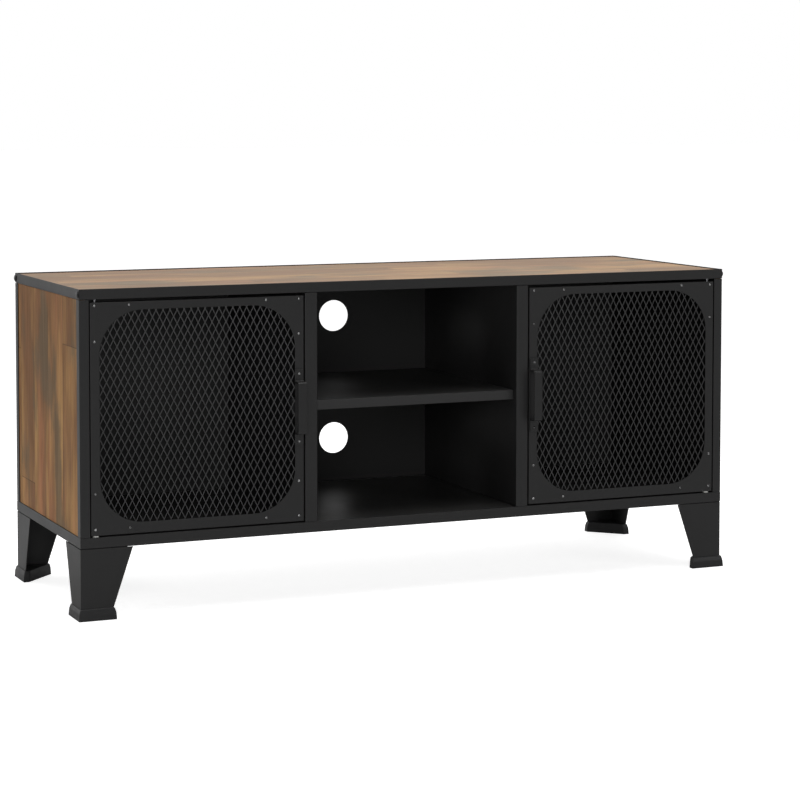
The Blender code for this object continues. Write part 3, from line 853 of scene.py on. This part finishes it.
class STAND_OT_feet(StandOperator):
    """Mould the four flared feet"""

    bl_idname = "stand.feet"
    bl_label = "Feet"

    def execute(self, context):
        plastic = grain_material(
            "foot_plastic", (0.012, 0.012, 0.0125), 0.46, 700.0, 0.00005, Specular_IOR_Level=0.35
        )
        for corner, (x, y) in CORNERS.items():
            node = f"foot_{corner}"
            low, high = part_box(node)
            length, height = high.x - low.x, high.z - low.z
            outline = [(0, 0), (length, 0), (length, FOOT_ARM), (FOOT_ARM, length), (0, length)]
            shape = bmesh.new()
            base = shape.faces.new([shape.verts.new((u, v, 0)) for u, v in outline])
            middle = Vector((length / 2, length / 2, 0))
            # The sides stand nearly upright and draw in at the shoulder.
            upper = base
            for rise, draw in FOOT_STEPS:
                made = bmesh.ops.extrude_face_region(shape, geom=[upper])["geom"]
                if upper is not base:
                    bmesh.ops.delete(shape, geom=[upper], context="FACES_ONLY")
                points = points_of(made)
                upper = next(item for item in made if isinstance(item, bmesh.types.BMFace))
                bmesh.ops.translate(shape, verts=points, vec=(0, 0, height * rise))
                shrink = 1 - draw / middle.x
                bmesh.ops.scale(
                    shape, verts=points, vec=(shrink, shrink, 1), space=Matrix.Translation(-middle)
                )
            round_edges(shape, shape.edges[:], self.looks.hardware.foot_edge, segments=3)
            bmesh.ops.scale(shape, verts=shape.verts, vec=(-x, -y, 1))
            outer = Vector((high.x if x > 0 else low.x, high.y if y > 0 else low.y, low.z))
            bmesh.ops.translate(shape, verts=shape.verts, vec=outer)
            face_outwards(shape)
            add_piece(f"moulded_{node}", shape, plastic, "cabinet", [node])
        return {"FINISHED"}


class STAND_OT_fixings(StandOperator):
    """Finish the screws, bolts, pivot pins, washers and catches"""

    bl_idname = "stand.fixings"
    bl_label = "Fixings"

    def execute(self, context):
        nodes = sorted(frame["nodes"])

        def named(*starts):
            return [node for node in nodes if node.startswith(starts)]

        black = grain_material(
            "black_oxide", (0.014, 0.014, 0.014), 0.34, 1200.0, 0.00001, Metallic=0.3
        )
        zinc = grain_material(
            "zinc_plate", (0.20, 0.20, 0.21), 0.24, 1500.0, 0.000005, Metallic=1.0
        )
        nylon = grain_material("white_nylon", (0.60, 0.60, 0.57), 0.42, 800.0, 0.00002)
        case = grain_material("catch_plastic", (0.020, 0.020, 0.021), 0.48, 700.0, 0.00003)
        dress(named("corner_screw", "leg_bolt"), black)
        dress(named("hinge_pin"), zinc)
        dress(named("hinge_washer"), nylon)
        dress(named("magnet_catch"), case)
        return {"FINISHED"}


def area_light(name, place, size, power):
    """A softbox that looks at the stand."""
    light = bpy.data.lights.new(name, "AREA")
    light.shape = "RECTANGLE"
    light.size, light.size_y = size
    light.energy = power
    lamp = bpy.data.objects.new(name, light)
    lamp.location = place
    lamp.rotation_euler = (Vector(AIM) - Vector(place)).to_track_quat("-Z", "Y").to_euler()
    bpy.context.scene.collection.objects.link(lamp)


class STAND_OT_stage(StandOperator):
    """Set up the camera, the pale floor and the studio light"""

    bl_idname = "stand.stage"
    bl_label = "Stage"

    def execute(self, context):
        looks = self.looks.stage
        self.add_camera(context.scene, looks)
        self.add_floor(looks)
        self.light_room(context.scene, looks)
        return {"FINISHED"}

    def add_camera(self, scene, looks):
        data = bpy.data.cameras.new("camera")
        data.sensor_width = 36.0
        data.lens = looks.lens
        data.shift_x, data.shift_y = looks.shift
        camera = bpy.data.objects.new("camera", data)
        camera.location = looks.camera_place
        camera.rotation_euler = (math.pi / 2 - looks.camera_tilt, 0, -looks.camera_turn)
        scene.collection.objects.link(camera)
        scene.camera = camera

    def add_floor(self, looks):
        shape = bmesh.new()
        bmesh.ops.create_grid(shape, x_segments=1, y_segments=1, size=30.0)
        mesh = bpy.data.meshes.new("floor")
        shape.to_mesh(mesh)
        shape.free()
        floor = bpy.data.objects.new("floor", mesh)
        paint = grain_material("floor_paint", looks.floor, 0.75, 40.0, 0.0)
        shader = paint.node_tree.nodes["Principled BSDF"]
        seen = add_node(paint.node_tree, "ShaderNodeLightPath").outputs["Is Camera Ray"]
        glow = calculate(paint.node_tree, "MULTIPLY", seen, looks.floor_glow)
        shader.inputs["Emission Color"].default_value = (1, 1, 1, 1)
        paint.node_tree.links.new(glow, shader.inputs["Emission Strength"])
        mesh.materials.append(paint)
        bpy.context.scene.collection.objects.link(floor)

    def light_room(self, scene, looks):
        """A white backdrop behind the stand and a dimmer room in front, with four softboxes."""
        world = bpy.data.worlds.new("studio")
        scene.world = world
        world.use_nodes = True
        tree = world.node_tree
        background = tree.nodes["Background"]
        towards = add_node(tree, "ShaderNodeTexCoord").outputs["Generated"]
        behind = add_node(tree, "ShaderNodeSeparateXYZ", {0: towards}).outputs["Y"]
        light = rescale(tree, behind, -0.35, 0.45, looks.room, looks.backdrop)
        seen = add_node(tree, "ShaderNodeLightPath").outputs["Is Camera Ray"]
        strength = calculate(tree, "MAXIMUM", light, seen)
        tree.links.new(strength, background.inputs["Strength"])
        background.inputs["Color"].default_value = (1, 1, 1, 1)
        powers = (looks.key_power, looks.fill_power, looks.edge_power, looks.top_power)
        for (name, (place, size)), power in zip(SOFTBOXES.items(), powers):
            area_light(name, place, size, power)
        scene.view_settings.view_transform = "Standard"


class STAND_PT_looks(Panel):
    """Lists what dresses the stand"""

    bl_label = "TV Stand"
    bl_idname = "STAND_PT_looks"
    bl_space_type = "VIEW_3D"
    bl_region_type = "UI"
    bl_category = "TV Stand"

    def draw(self, context):
        looks = context.scene.stand_looks
        for group in (looks.wood, looks.steel, looks.mesh, looks.hardware, looks.stage):
            box = self.layout.box()
            for name in group.__annotations__:
                box.prop(group, name)
        for operator in OPERATORS:
            self.layout.operator(operator.bl_idname)


OPERATORS = (
    STAND_OT_stage,
    STAND_OT_boards,
    STAND_OT_sheet_steel,
    STAND_OT_legs,
    STAND_OT_mesh_panels,
    STAND_OT_rivets,
    STAND_OT_pulls,
    STAND_OT_feet,
    STAND_OT_fixings,
)
CLASSES = (
    WoodLooks,
    SteelLooks,
    MeshLooks,
    HardwareLooks,
    StageLooks,
    StandLooks,
    *OPERATORS,
    STAND_PT_looks,
)


def register():
    for kind in CLASSES:
        bpy.utils.register_class(kind)
    bpy.types.Scene.stand_looks = PointerProperty(type=StandLooks)


def unregister():
    del bpy.types.Scene.stand_looks
    for kind in reversed(CLASSES):
        bpy.utils.unregister_class(kind)


def main():
    register()
    bpy.ops.stand.stage()
    bpy.ops.stand.boards()
    bpy.ops.stand.sheet_steel()
    bpy.ops.stand.legs()
    bpy.ops.stand.mesh_panels()
    bpy.ops.stand.rivets()
    bpy.ops.stand.pulls()
    bpy.ops.stand.feet()
    bpy.ops.stand.fixings()


if __name__ == "__main__":
    main()
